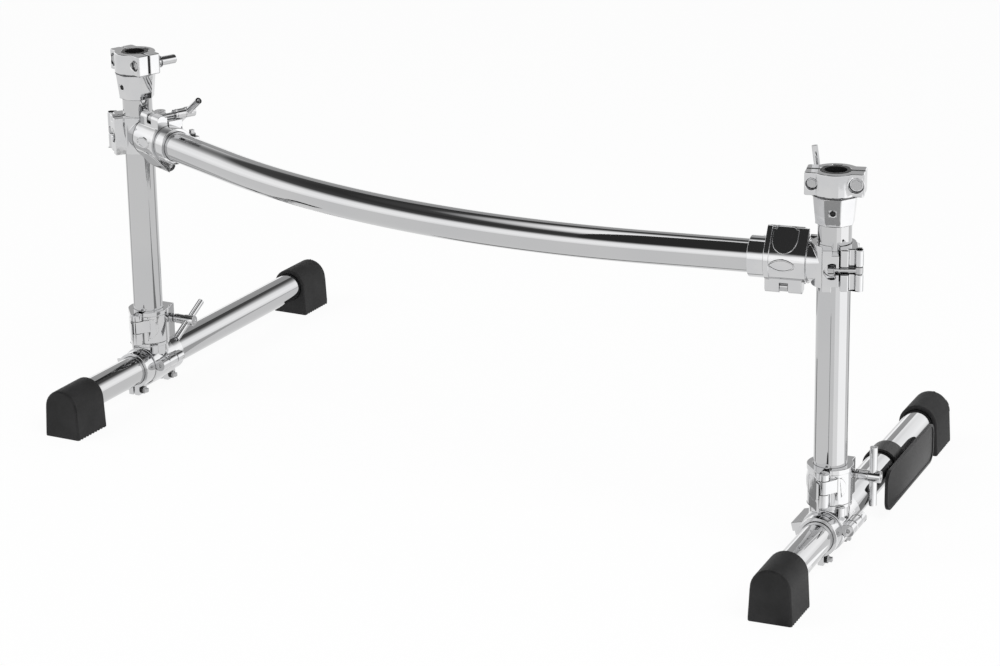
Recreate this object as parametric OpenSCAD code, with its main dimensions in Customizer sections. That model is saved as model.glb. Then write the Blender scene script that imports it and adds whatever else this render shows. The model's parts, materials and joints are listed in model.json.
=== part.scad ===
// Curved drum rack frame: a bowed crossbar held between two uprights by hinged T-clamps,
// each upright standing in a second T-clamp on a foot tube with rubber end feet, and carrying
// a split holder for a 25.4 mm arm on its top. Millimetres, +Z up, +Y towards the back, origin
// on the floor in the middle of the rectangle that the rack covers.

/* [Frame] */
// Distance between the axes of the two uprights
upright_gap = 1026; // [900:2:1200]
// Height of the crossbar's axis over the floor
bar_z = 351; // [300:1:355]
// Angle that each end of the crossbar makes with the line between the uprights, degrees
bar_yaw = 17.5; // [12:0.5:20]
// Straight run from the upright's axis to where the crossbar starts to bow
bar_straight = 215; // [150:5:240]
// Height of the foot tubes' axis over the floor
foot_z = 39; // [38:0.5:46]
// Turn of the left foot tube from square to the rack, degrees
left_toe = 8; // [0:1:12]
// Turn of the right foot tube from square to the rack, degrees
right_toe = 12; // [0:1:15]

/* [Tubes] */
// Outside diameter of every rack tube
tube_d = 38.1; // [37:0.1:40]
// Wall of every rack tube
tube_wall = 1.8; // [1.2:0.1:2.5]
// Height of the uprights' lower ends over the foot tubes' axis
upright_seat = 23; // [22:0.5:28]
// Height of the uprights' upper ends over the floor
upright_top = 425; // [422:1:428]
// Length of each foot tube
foot_tube_len = 610; // [500:5:700]
// Reach of each foot tube in front of its upright
foot_front = 203; // [160:1:240]

/* [T-clamp] */
// Radial clearance between a clamp and the tube in it
clamp_clear = 0.15; // [0.1:0.05:0.2]
// Outside diameter of the clamp's barrels
barrel_d = 51; // [49:0.5:53]
// Distance from the through tube's axis to the open end of the socket
socket_reach = 75; // [72:0.5:80]
// Distance from the through tube's axis to where the socket's gate starts
gate_start = 32; // [31:0.5:34]
// Height of the collar along the through tube
collar_h = 48; // [44:1:52]
// Turn of the collar's split plane about the through tube, degrees
collar_turn = 14; // [8:1:16]
// Distance of the collar's split plane from the through tube's axis
collar_split = 4; // [3:0.5:5]
// Gap between a gate and its half
split_gap = 1.6; // [1:0.2:2]
// Distance of the hinge pins from their tube's axis
hinge_off = 30; // [29.5:0.5:31]
// Outside diameter of the hinge knuckles
knuckle_d = 15; // [13:0.5:15]
// Diameter of the hinge and pivot pins
pin_d = 4.5; // [4:0.25:5]
// Running clearance round a pin, on the radius
pin_clear = 0.05; // [0.03:0.01:0.08]
// Thickness of the rim round the socket's end
rim_t = 6; // [4:0.5:7]

/* [Swing bolts] */
// Diameter of the swing bolts' shanks
shank_d = 6.4; // [6:0.2:7]
// Clearance beside a shank in its slot
slot_clear = 0.6; // [0.4:0.1:0.8]
// Distance of the socket's swing bolt from the socket's axis
socket_bolt_off = 30; // [29.5:0.5:31]
// Distance of the collar's swing bolt from the through tube's axis
collar_bolt_off = 28; // [27.5:0.5:29]
// Diameter of the T-handle's hub
hub_d = 13; // [12:0.5:14]
// Length of the T-handle's hub
hub_len = 29; // [26:1:32]
// Length of the T-handle's bar
t_bar_len = 71; // [60:1:71]
// Diameter of the T-handle's bar
t_bar_d = 9; // [7:0.5:10]

// Turn of the upper left clamp's T-handle from its socket's axis, degrees
left_upper_handle = 35; // [0:5:175]
// Turn of the upper right clamp's T-handle from its socket's axis, degrees
right_upper_handle = 20; // [0:5:175]
// Turn of the lower left clamp's T-handle from its socket's axis, degrees
left_lower_handle = 62; // [0:2:176]
// Turn of the lower right clamp's T-handle from its socket's axis, degrees
right_lower_handle = 0; // [0:5:175]

/* [Memory locks] */
// Length of a memory lock along its tube
lock_w = 19; // [14:1:22]
// Outside diameter of a memory lock
lock_d = 47; // [44:0.5:49]
// Distance of a memory lock's bolt from its tube's axis
lock_bolt_off = 28; // [27:0.5:30]
// Diameter of a memory lock's bolt
lock_bolt_d = 5; // [4:0.5:6]

/* [Top holders] */
// Height of the holder's top face over the floor
holder_top = 457.5; // [455:0.5:462]
// Height of the holder's clamping block
block_h = 26; // [24:0.5:28]
// Length of the clamping block along its split
block_len = 66; // [64:1:72]
// Thickness of each half of the clamping block at its ears
ear_t = 17; // [16:0.5:19]
// Bore of the liner, for the arm that it holds
arm_bore = 25.4; // [22.2:0.1:26]
// Wall of the liner
liner_wall = 4.5; // [3:0.25:5]
// Distance between the two bolts of a holder
bolt_gap = 49; // [47:1:52]
// Turn of the left holder about its upright, degrees
left_holder_turn = -15; // [-30:1:30]
// Turn of the right holder about its upright, degrees
right_holder_turn = 23; // [-30:1:30]
// Length of the right T-screw's bar
t_screw_bar_len = 58; // [50:1:62]

/* [Rubber feet] */
// Length of a foot along its tube
foot_len = 62; // [55:1:70]
// Width of a foot on the floor
foot_w = 52; // [50:1:58]
// Rubber over the tube at the top of a foot
foot_roof = 5; // [4:0.5:7]
// Rubber behind the end of the tube
foot_end = 3; // [3:0.5:6]
// Depth of the tread grooves
tread_depth = 1.5; // [1:0.5:2]

/* [Badge] */
// Length of the badge plate
badge_len = 190; // [150:5:200]
// Height of the badge plate
badge_h = 50; // [40:1:54]
// Thickness of the badge plate
badge_t = 4; // [3:0.5:5]
// Distance of the badge's middle behind the right upright
badge_at = 213; // [205:1:225]
// Width of the badge's clip along the tube
clip_w = 32; // [20:1:36]
// Thickness of the badge's clip
clip_t = 3; // [2.5:0.5:4]

/* [Hidden] */
$fn = 64;

chrome = [0.82, 0.83, 0.84];
rubber = [0.16, 0.16, 0.17];
black = [0.12, 0.12, 0.13];

// Middle of the rectangle that the feet cover, seen from midway between the uprights
foot_shoulder = 2;
foot_inset = 0.3;
end_inset = 2.2;
front_reach = foot_front + foot_end;
rear_reach = foot_tube_len - foot_front + foot_end;
left_out = (rear_reach - foot_shoulder) * sin(left_toe) + (foot_w / 2 - foot_inset) * cos(left_toe);
right_out = (front_reach - foot_shoulder) * sin(right_toe) + (foot_w / 2 - foot_inset) * cos(right_toe);
middle_x = (right_out - left_out) / 2;
middle_y = (rear_reach - front_reach) * cos(left_toe) / 2;
left_x = -upright_gap / 2 - middle_x;
right_x = upright_gap / 2 - middle_x;
side_y = -middle_y;

tube_r = tube_d / 2;
bore_r = tube_r + clamp_clear;
barrel_r = barrel_d / 2;
neck_r = bore_r + 4;
tube_stop = bore_r + 3.5;
bow_step = 0.15;
pin_r = pin_d / 2;
knuckle_r = knuckle_d / 2;
half_h = collar_h / 2;
shank_r = shank_d / 2;

// Hinge of the socket: the middle knuckle belongs to the gate
knuckle_gap = 0.4;
hinge_from = gate_start + 1;
hinge_to = socket_reach - 2;
middle_from = hinge_from + 0.4 * (hinge_to - hinge_from);
middle_to = hinge_from + 0.8 * (hinge_to - hinge_from);
hinge_y = 1.5;
rim_rise = 1;
// Swing bolt of the socket: its place along the socket, and its pivot in the body's lugs
bolt_x = (gate_start + socket_reach) / 2;
pivot_y = -9;
eye_r = 5.5;
eye_w = 9;
lug_r = 7;
lug_z = socket_bolt_off + 4.5;
prong_z = socket_bolt_off - 1.4;
seat_y = 20.8;
washer_t = 0.8;
washer_r = 6;
seat_gap = 0.3;
hub_y = seat_y + seat_gap + washer_t;
socket_seat_r = seat_y - pivot_y;
t_bar_y = hub_y + 0.68 * hub_len;
bolt_in_hub = 0.6 * hub_len;
// Hinge and swing bolt of the collar, in the collar's own turned frame
hinge_x = 1.5 - collar_split;
collar_mid = 0.2 * collar_h;
collar_pivot = [-26.5, -collar_bolt_off];
lobe_r = 4.8;
fork_x = -15;
fork_gap = 8.2;
collar_front = 14;
collar_seat = 0.3;
seat_r = collar_seat - seat_gap - collar_pivot.x;
head_len = 6.5;
head_af = 9;
collar_lug_y = collar_bolt_off + 7.5;
scoop_r = 9.2;
scoop_x = 3.5;
// Key slots in the clamps' end faces
key_w = 8;
key_d = 6;
// Shields and oval badge on the socket, and the small stop behind its neck
relief = 0.7;
shield_x = bolt_x - 0.5;
shield_r = 14.3;
shield_z = -26.5;
oval_x = bolt_x;
oval_z = 1;
oval_l = 14.4;
oval_w = 7;
stop_y = 19;
stop_z = -19;
// Holders: liner, neck, bolts and T-screw, with heights under the top face
liner_or = arm_bore / 2 + liner_wall;
holder_wall = 9.3;
liner_split = 3;
liner_wing = 2.4;
tab_w = 10;
tab_t = 2.5;
neck_h = 34.5;
neck_low_r = bore_r + 2.3;
neck_top_r = bore_r + 5.5;
holder_bolt_r = 3;
holder_bolt_z = -block_h / 2;
set_screw_r = 3;
set_screw_z = upright_top - 12;
t_screw_y = ear_t + seat_gap;
t_screw_len = 27;
t_screw_lean = 8;
// Rubber feet
foot_grip = 0.1;
tread_pitch = 6;
tread_len = 9;
// Badge: its middle lies under the foot tube's axis, its back this far from it
badge_drop = -2;
badge_back = tube_r + 10;
badge_corner = 15;
badge_rim = 1;
// Ears and bolts of the memory locks
lock_gap = 0.4;
lock_ear = 8;
lock_split = 2;
lock_key = 5;
lock_nut = 8;

// Outline of a ring section with straight sides, as a plate across X
module across_x(from, to) {
    translate([from, 0, 0]) rotate([90, 0, 90]) linear_extrude(to - from) children();
}

// Cylinder along X, Y or Z by its two ends, its radius and the place of its axis
module rod_x(from, to, r, y = 0, z = 0) {
    translate([from, y, z]) rotate([0, 90, 0]) cylinder(h = to - from, r = r);
}
module rod_y(from, to, r, x = 0, z = 0) {
    translate([x, from, z]) rotate([-90, 0, 0]) cylinder(h = to - from, r = r);
}
module rod_z(from, to, r, x = 0, y = 0) {
    translate([x, y, from]) cylinder(h = to - from, r = r);
}

// Box by its lowest and highest corners
module block(low, high) { translate(low) cube(high - low); }

// Six-sided prism along X, by its width over the flats
module hex_x(from, to, af) {
    translate([from, 0, 0]) rotate([0, 90, 0]) cylinder(h = to - from, r = af / sqrt(3), $fn = 6);
}

// Two round ends joined by their outer tangents, the small one at a distance along +X
module drop(big, at, small) {
    lean = acos((big - small) / at);
    r1 = big - 0.05;
    r2 = small - 0.05;
    circle(r = big);
    translate([at, 0]) circle(r = small);
    polygon([[r1 * cos(lean), r1 * sin(lean)], [at + r2 * cos(lean), r2 * sin(lean)],
        [at + r2 * cos(lean), -r2 * sin(lean)], [r1 * cos(lean), -r1 * sin(lean)], [0, 0]]);
}

// The collar's own frame, turned so that its split is square to +X
module in_collar() { rotate([0, 0, -collar_turn]) children(); }

// Outline of the socket across its axis, with the hinge below, larger all round by grow
module socket_outline(grow = 0) {
    hinge_at = sqrt(hinge_y * hinge_y + hinge_off * hinge_off);
    rotate(atan2(-hinge_off, hinge_y)) drop(barrel_r + grow, hinge_at, knuckle_r + grow);
}

// Shield-shaped prism through the socket's wall, from the hinge to near its middle
module shield_prism(from, to) {
    translate([0, from, 0]) rotate([-90, 0, 0]) linear_extrude(to - from) {
        translate([shield_x, -shield_z]) circle(r = shield_r);
        translate([shield_x - shield_r, -shield_z]) square([2 * shield_r, hinge_off + 5 + shield_z]);
    }
}

// Oval outline of the bare badge on the clamp's front
module oval(half_l, half_w) {
    wide = half_l * 1.12;
    arc = (wide * wide + half_w * half_w) / (2 * half_w);
    intersection() {
        translate([0, arc - half_w]) circle(r = arc);
        translate([0, half_w - arc]) circle(r = arc);
        circle(r = half_l);
    }
}

// Raised decoration of one half of the socket: side -1 is the body's, side 1 the gate's
module socket_relief(side) {
    low = side < 0 ? -60 : split_gap / 2;
    high = side < 0 ? -split_gap / 2 : 60;
    intersection() {
        across_x(shield_x - shield_r - 1, shield_x + shield_r + 1) socket_outline(relief);
        shield_prism(low, high);
    }
}

// Body of the T-clamp: half collar, neck, front half of the socket
module clamp_body() {
    difference() {
        union() {
            in_collar() {
                intersection() {
                    rod_z(-half_h, half_h, barrel_r);
                    block([-collar_split, -60, -60], [60, 60, 60]);
                }
                block([-collar_split, -collar_lug_y, -half_h], [collar_front, 0, half_h]);
                rod_z(-half_h, half_h, knuckle_r, hinge_x, hinge_off);
                block([-collar_split, neck_r - 6, -half_h], [hinge_x + knuckle_r - 0.4, hinge_off, half_h]);
            }
            rod_x(5, gate_start - knuckle_gap, neck_r);
            rod_x(gate_start - 5, gate_start - knuckle_gap, barrel_r - 0.3);
            intersection() {
                across_x(gate_start - 4.5, socket_reach) socket_outline();
                block([0, -60, -60], [90, -split_gap / 2, 60]);
            }
            intersection() {
                across_x(socket_reach - rim_t, socket_reach) socket_outline(rim_rise);
                block([0, -60, -60], [90, -split_gap / 2, 60]);
            }
            across_x(hinge_from, hinge_to) translate([hinge_y, -hinge_off]) circle(r = knuckle_r - 0.1);
            body_lugs();
            socket_relief(-1);
            translate([oval_x, -barrel_r - relief, oval_z]) rotate([-90, 0, 0])
                linear_extrude(10) oval(oval_l, oval_w);
            rod_x(gate_start - 12, gate_start - 1, 5.5, stop_y, stop_z);
        }
        rod_z(-60, 60, bore_r);
        rod_x(tube_stop, 90, bore_r);
        translate([oval_x, -barrel_r - relief - 1, oval_z]) rotate([-90, 0, 0])
            linear_extrude(relief + 1) oval(oval_l - 1.4, oval_w - 1.4);
        // Room for the gate's knuckle, and the holes of the pins
        rod_x(middle_from - knuckle_gap, middle_to + knuckle_gap, knuckle_r + knuckle_gap, hinge_y, -hinge_off);
        rod_x(hinge_from - 1, socket_reach + 1, pin_r + pin_clear, hinge_y, -hinge_off);
        rod_x(gate_start + 2, socket_reach - 4, pin_r + pin_clear, pivot_y, socket_bolt_off);
        block([bolt_x - eye_w / 2 - slot_clear, pivot_y - lug_r - 2, socket_bolt_off - eye_r - 0.4],
            [bolt_x + eye_w / 2 + slot_clear, 2, lug_z + 6]);
        in_collar() {
            translate([hinge_x, hinge_off, 0]) {
                rod_z(-collar_mid - knuckle_gap, collar_mid + knuckle_gap, knuckle_r + knuckle_gap);
                rod_z(-half_h - 1, half_h + 1, pin_r + pin_clear);
            }
            // The collar's bolt lies in a slot and its nut in a round scoop, both open in front
            block([-collar_split - 1, -collar_lug_y - 1, -shank_r - slot_clear],
                [collar_seat + 2, -collar_bolt_off + shank_r + slot_clear, shank_r + slot_clear]);
            difference() {
                rod_y(-collar_lug_y - 1, -collar_bolt_off + washer_r + 0.5, scoop_r, scoop_x, 0);
                rod_z(-scoop_r - 1, scoop_r + 1, seat_r, collar_pivot.x, collar_pivot.y);
            }
            // Key slots at the split, in both end faces
            for (end = [-1, 1]) translate([-collar_split - 1, -barrel_r - 12, end * half_h - key_d])
                cube([key_w + 1, 12 + barrel_r - bore_r + 4, 2 * key_d]);
        }
    }
}

// Lugs of the body beside the swing bolt
module body_lugs() {
    difference() {
        across_x(gate_start + 1, socket_reach) {
            translate([pivot_y, socket_bolt_off]) circle(r = lug_r);
            translate([pivot_y, 0]) square([-pivot_y - split_gap / 2, lug_z]);
            translate([pivot_y - lug_r + 0.05, 0]) square([lug_r, socket_bolt_off]);
        }
        rod_x(0, 90, bore_r);
    }
}

// Hinged rear half of the socket
module socket_gate() {
    difference() {
        union() {
            intersection() {
                union() {
                    across_x(gate_start, socket_reach) circle(r = barrel_r);
                    across_x(socket_reach - rim_t, socket_reach) circle(r = barrel_r + rim_rise);
                    across_x(middle_from, middle_to) socket_outline();
                    across_x(gate_start, socket_reach) translate([0, -hinge_off])
                        square([knuckle_r * 0.94 + hinge_y, hinge_off]);
                    across_x(gate_start, socket_reach) square([seat_y, prong_z]);
                }
                block([0, split_gap / 2, -60], [90, 60, 60]);
                union() {
                    block([0, -60, -60], [90, 60, socket_bolt_off]);
                    rod_x(0, 90, socket_seat_r, pivot_y, socket_bolt_off);
                }
            }
            across_x(middle_from, middle_to) translate([hinge_y, -hinge_off]) circle(r = knuckle_r - 0.1);
            difference() {
                socket_relief(1);
                block([0, 0, -60], [90, 60, -hinge_off + 8]);
            }
        }
        rod_x(0, 90, bore_r);
        rod_x(0, middle_from, knuckle_r + knuckle_gap, hinge_y, -hinge_off);
        rod_x(middle_to, 90, knuckle_r + knuckle_gap, hinge_y, -hinge_off);
        rod_x(0, 90, pin_r + pin_clear, hinge_y, -hinge_off);
        block([bolt_x - shank_r - slot_clear, 0, socket_bolt_off - shank_r - slot_clear],
            [bolt_x + shank_r + slot_clear, 60, lug_z + 4]);
        block([socket_reach - key_d, 0, -barrel_r - 14], [socket_reach + 1, key_w, -bore_r + 3]);
    }
}

// Hinged half of the collar, with the fork that carries the collar's swing bolt
module collar_gate() {
    in_collar() difference() {
        union() {
            intersection() {
                rod_z(-half_h, half_h, barrel_r);
                block([-60, -60, -60], [-collar_split - split_gap, 60, 60]);
            }
            block([fork_x, -collar_lug_y + 2, -half_h], [-collar_split - split_gap, 0, half_h]);
            rod_z(-half_h, half_h, lobe_r, collar_pivot.x, collar_pivot.y);
            block([collar_pivot.x, collar_pivot.y, -half_h], [fork_x + 1, 0, half_h]);
            block([collar_pivot.x - lobe_r + 0.05, collar_pivot.y, -half_h],
                [fork_x, collar_pivot.y + 9, half_h]);
            rod_z(-collar_mid, collar_mid, knuckle_r, hinge_x, hinge_off);
            block([hinge_x - knuckle_r + 0.4, neck_r - 6, -collar_mid],
                [-collar_split - split_gap, hinge_off, collar_mid]);
        }
        rod_z(-60, 60, bore_r);
        for (end = [-1, 1]) translate([hinge_x, hinge_off, end * (collar_mid + 30)])
            rod_z(-30, 30, knuckle_r + knuckle_gap);
        translate([hinge_x, hinge_off, 0]) rod_z(-60, 60, pin_r + pin_clear);
        translate([collar_pivot.x, collar_pivot.y, 0]) rod_z(-60, 60, pin_r + pin_clear);
        block([-60, -60, -fork_gap / 2], [0, collar_pivot.y + lobe_r + 0.4, fork_gap / 2]);
    }
}

// Pins of the two hinges and of the socket's swing bolt
module clamp_pins() {
    rod_x(hinge_from + 0.5, socket_reach - 1, pin_r, hinge_y, -hinge_off);
    rod_x(gate_start + 2.5, socket_reach - 4.5, pin_r, pivot_y, socket_bolt_off);
    in_collar() translate([hinge_x, hinge_off, 0]) rod_z(-half_h + 0.5, half_h - 0.5, pin_r);
}

// Swing bolt of the socket
module socket_bolt() {
    difference() {
        union() {
            rod_x(bolt_x - eye_w / 2, bolt_x + eye_w / 2, eye_r, pivot_y, socket_bolt_off);
            rod_y(pivot_y, hub_y + bolt_in_hub, shank_r, bolt_x, socket_bolt_off);
        }
        rod_x(0, 90, pin_r + pin_clear, pivot_y, socket_bolt_off);
    }
}

// T-handle with its washer, its bar turned from the socket's axis
module t_handle(turn) {
    translate([bolt_x, 0, socket_bolt_off]) rotate([0, -turn, 0]) {
        difference() {
            union() {
                rod_y(hub_y + 0.2, hub_y + 3, hub_d / 2 - 0.6);
                rod_y(hub_y + 3, hub_y + hub_len - 6, hub_d / 2 - 0.3);
                rod_y(hub_y + hub_len - 14, hub_y + hub_len, hub_d / 2 + 0.4);
                translate([0, t_bar_y, 0]) rod_x(-t_bar_len / 2, t_bar_len / 2, t_bar_d / 2);
            }
            rod_y(hub_y - 1, hub_y + bolt_in_hub + 0.5, shank_r + 0.1);
            rod_y(hub_y + hub_len - 1, hub_y + hub_len + 1, 3);
            for (end = [-1, 1]) translate([end * t_bar_len / 2, t_bar_y, 0]) rod_x(-1.5, 1.5, 1.6);
        }
        difference() {
            rod_y(hub_y - washer_t, hub_y, washer_r);
            rod_y(hub_y - 2, hub_y + 1, shank_r + 0.1);
        }
    }
}

// Swing bolt of the collar with its pin, its washer and its nut
module collar_bolt() {
    head_x = collar_seat + washer_t + 0.2;
    in_collar() translate([0, collar_pivot.y, 0]) {
        difference() {
            union() {
                rod_z(-fork_gap / 2 + 0.4, fork_gap / 2 - 0.4, lobe_r - 0.2, collar_pivot.x, 0);
                rod_x(collar_pivot.x, head_x + head_len - 1.5, shank_r);
            }
            rod_z(-20, 20, pin_r + pin_clear, collar_pivot.x, 0);
        }
        rod_z(-half_h + 0.5, half_h - 0.5, pin_r, collar_pivot.x, 0);
        difference() {
            rod_x(collar_seat, collar_seat + washer_t, washer_r);
            rod_x(0, 9, shank_r + 0.1);
        }
        difference() {
            hex_x(head_x, head_x + head_len, head_af);
            rod_x(0, head_x + head_len - 1, shank_r + 0.1);
        }
    }
}

// Places of the four clamps
module at_upper_left() {
    translate([left_x, side_y, bar_z]) rotate([0, 0, -bar_yaw]) children();
}
module at_upper_right() {
    translate([right_x, side_y, bar_z]) rotate([0, 180, bar_yaw]) children();
}
module at_lower_left() {
    translate([left_x, side_y, foot_z]) rotate([0, 0, left_toe]) rotate([0, -90, -90]) children();
}
module at_lower_right() {
    translate([right_x, side_y, foot_z]) rotate([0, 0, right_toe]) rotate([0, -90, -90]) children();
}

// Bowed crossbar between the two upper sockets: the bow's ends are let into the straight ends
module crossbar() {
    bow_r = (upright_gap / 2 - bar_straight * cos(bar_yaw)) / sin(bar_yaw);
    bow_y = bow_r * cos(bar_yaw) - bar_straight * sin(bar_yaw);
    let_in = 3 / bow_r * 180 / PI;
    color(chrome) {
        translate([-middle_x, side_y + bow_y, bar_z]) rotate([0, 0, -90 - bar_yaw - let_in])
            rotate_extrude(angle = 2 * bar_yaw + 2 * let_in, $fn = 360) translate([bow_r, 0]) difference() {
                circle(r = tube_r - bow_step, $fn = 64);
                circle(r = tube_r - tube_wall + bow_step, $fn = 64);
            }
        at_upper_left() bar_end();
        at_upper_right() bar_end();
    }
}
module bar_end() {
    difference() {
        rod_x(tube_stop + seat_gap, bar_straight, tube_r);
        rod_x(tube_stop, bar_straight + 1, tube_r - tube_wall);
    }
}

// Upright by the sign of its side
module upright(side) {
    translate([side < 0 ? left_x : right_x, side_y, 0]) difference() {
        rod_z(foot_z + upright_seat, upright_top, tube_r);
        rod_z(foot_z + upright_seat - 1, upright_top + 1, tube_r - tube_wall);
    }
}

// Foot tube along its clamp's through axis
module foot_tube() {
    difference() {
        rod_z(-foot_front, foot_tube_len - foot_front, tube_r);
        rod_z(-foot_front - 1, foot_tube_len - foot_front + 1, tube_r - tube_wall);
    }
}

// Split ring that marks a clamp's place on a tube: tube along Z, ears towards -X
module memory_lock() {
    ear_end = lock_bolt_off + lock_bolt_d / 2 + 3;
    difference() {
        union() {
            rod_z(0, lock_w, lock_d / 2);
            difference() {
                block([-ear_end, -lock_ear, 0], [0, lock_ear, lock_w]);
                rod_z(-1, lock_w + 1, bore_r);
            }
        }
        rod_z(-1, lock_w + 1, bore_r);
        block([-ear_end - 1, -lock_split / 2, -1], [0, lock_split / 2, lock_w + 1]);
        rod_y(-60, 60, lock_bolt_d / 2 + 0.15, -lock_bolt_off, lock_w / 2);
    }
}

// Bolt of a memory lock with its cup washer, its square key head and its square nut
module lock_bolt() {
    translate([-lock_bolt_off, 0, lock_w / 2]) {
        rod_y(-lock_ear - 4, lock_ear + 2, lock_bolt_d / 2);
        difference() {
            rod_y(lock_ear, lock_ear + 2.5, lock_bolt_d / 2 + 2);
            rod_y(lock_ear - 1, lock_ear + 4, lock_bolt_d / 2 + 0.1);
        }
        rod_y(lock_ear + 2, lock_ear + 3.2, lock_bolt_d / 2 + 1.6);
        block([-lock_key / 2, lock_ear + 3.2, -lock_key / 2], [lock_key / 2, lock_ear + 7.5, lock_key / 2]);
        difference() {
            block([-lock_nut / 2, -lock_ear - 3.2, -lock_nut / 2], [lock_nut / 2, -lock_ear, lock_nut / 2]);
            rod_y(-lock_ear - 9, 0, lock_bolt_d / 2 + 0.1);
        }
    }
}

// Places of the memory locks: beside the upper sockets, and beside the lower collars
module at_left_bar_lock() {
    at_upper_left() translate([socket_reach + lock_gap + lock_w, 0, 0]) rotate([90, 0, -90]) children();
}
module at_right_bar_lock() {
    at_upper_right() translate([socket_reach + lock_gap, 0, 0]) rotate([-90, 0, -90]) children();
}
module at_foot_locks() {
    translate([0, 0, half_h + lock_gap]) children();
    translate([0, 0, -half_h - lock_gap - lock_w]) children();
}

// Holder on an upright's top: the split along X, the front towards -Y, the T-screw at the side
module at_left_holder() {
    translate([left_x, side_y, holder_top]) rotate([0, 0, left_holder_turn]) children();
}
module at_right_holder() {
    translate([right_x, side_y, holder_top]) rotate([0, 0, right_holder_turn]) children();
}

// Outline of the clamping block seen from above
module holder_outline() {
    corner = 3;
    circle(r = liner_or + holder_wall);
    square([block_len - 2 * corner, 2 * ear_t], center = true);
    square([block_len, 2 * ear_t - 2 * corner], center = true);
    for (x = [-1, 1], y = [-1, 1])
        translate([x * (block_len / 2 - corner), y * (ear_t - corner)]) circle(r = corner);
}

// Front half of the holder with the neck that sits over the upright
module holder_front(side) {
    seat_z = upright_top - holder_top;
    difference() {
        union() {
            intersection() {
                translate([0, 0, -block_h]) linear_extrude(block_h) holder_outline();
                block([-60, -60, -60], [60, -liner_split / 2, 0]);
            }
            rod_z(-block_h - neck_h, -block_h - neck_h + 4, neck_low_r);
            translate([0, 0, -block_h - neck_h + 3.5])
                cylinder(h = neck_h - 5, r1 = neck_low_r, r2 = neck_top_r);
            rod_z(-block_h - 2, -block_h + 1, neck_top_r);
        }
        block([-60, -liner_split / 2, -block_h - seat_gap], [60, 60, 1]);
        rod_z(-block_h - neck_h - 1, seat_z + seat_gap, bore_r);
        rod_z(-60, 1, liner_or + 0.1);
        holder_drillings(side);
        rod_y(-60, 0, set_screw_r + pin_clear, 0, set_screw_z - holder_top);
    }
}

// Holes for the two bolts of a holder: the counterbore at the T-screw's side is the smaller
module holder_drillings(side) {
    for (x = [-1, 1]) {
        rod_y(-60, 60, holder_bolt_r + 0.2, x * bolt_gap / 2, holder_bolt_z);
        rod_y(-60, -ear_t + 5.5, x == side ? 6.6 : 8.2, x * bolt_gap / 2, holder_bolt_z);
    }
}

// Rear half of the holder, drawn up by the T-screw
module holder_rear(side) {
    difference() {
        intersection() {
            translate([0, 0, -block_h]) linear_extrude(block_h) holder_outline();
            block([-60, liner_split / 2, -60], [60, 60, 0]);
        }
        rod_z(-60, 1, liner_or + 0.1);
        block([-tab_w / 2 - 0.3, 0, -60], [tab_w / 2 + 0.3, liner_or + tab_t + 0.3, 1]);
        holder_drillings(side);
        // Spot face under the T-screw
        rod_y(ear_t - 0.1, 60, hub_d / 2 + 0.6, side * bolt_gap / 2, holder_bolt_z);
    }
}

// Moulded liner of the holder's bore, with wings in the split and a locating tab behind
module liner() {
    difference() {
        union() {
            rod_z(-block_h + 0.5, 0, liner_or);
            block([-block_len / 2 + 0.8, -liner_wing / 2, -block_h + 3.3],
                [block_len / 2 - 0.8, liner_wing / 2, -0.6]);
            block([-tab_w / 2, 0, -block_h + 0.5], [tab_w / 2, liner_or + tab_t, 0]);
        }
        rod_z(-60, 1, arm_bore / 2);
        for (x = [-1, 1]) rod_y(-9, 9, holder_bolt_r + 0.6, x * bolt_gap / 2, holder_bolt_z);
    }
}

// Two hexagon bolts of a holder, and the set screw in its neck
module holder_screws(side) {
    head_y = -ear_t + 5.5;
    for (x = [-1, 1]) translate([x * bolt_gap / 2, 0, holder_bolt_z]) {
        rotate([0, 0, -90]) hex_x(-head_y, -head_y + 4, x == side ? 9 : 11);
        rod_y(head_y - 0.1, x == side ? t_screw_y + 14 : ear_t - 1, holder_bolt_r);
    }
    difference() {
        rod_y(-neck_low_r + 0.5, -tube_r - 0.1, set_screw_r, 0, set_screw_z - holder_top);
        translate([0, 0, set_screw_z - holder_top]) rotate([0, 0, -90]) hex_x(tube_r + 1, 40, 2.5);
    }
}

// Screw behind the jaw: the right one is a T-screw, the left one has a plain round head
module jaw_screw(side) {
    bar_y = t_screw_y + t_screw_len - 6.5;
    translate([side * bolt_gap / 2, 0, holder_bolt_z]) rotate([0, side * t_screw_lean, 0])
        difference() {
            union() {
                rod_y(t_screw_y, t_screw_y + 4, hub_d / 2);
                rod_y(t_screw_y + 4, t_screw_y + t_screw_len, hub_d / 2 - 0.6);
                if (side < 0)
                    rod_z(-t_screw_bar_len / 2, t_screw_bar_len / 2, t_bar_d / 2 - 1, 0, bar_y);
            }
            rod_y(t_screw_y - 1, t_screw_y + 15, holder_bolt_r + 0.1);
            if (side < 0) for (end = [-1, 1])
                translate([0, bar_y, end * t_screw_bar_len / 2]) rod_z(-1.5, 1.5, 1.4);
        }
}

// Cross-section of a rubber foot, drawn in by inset and lower at its crown
module foot_section(inset) {
    translate([0, foot_z]) circle(r = tube_r + foot_roof - inset);
    translate([-foot_w / 2 + inset, 0]) square([foot_w - 2 * inset, 4]);
    translate([-foot_w / 2 + inset + 2, 0]) square([foot_w - 2 * inset - 4, 26]);
}

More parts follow.
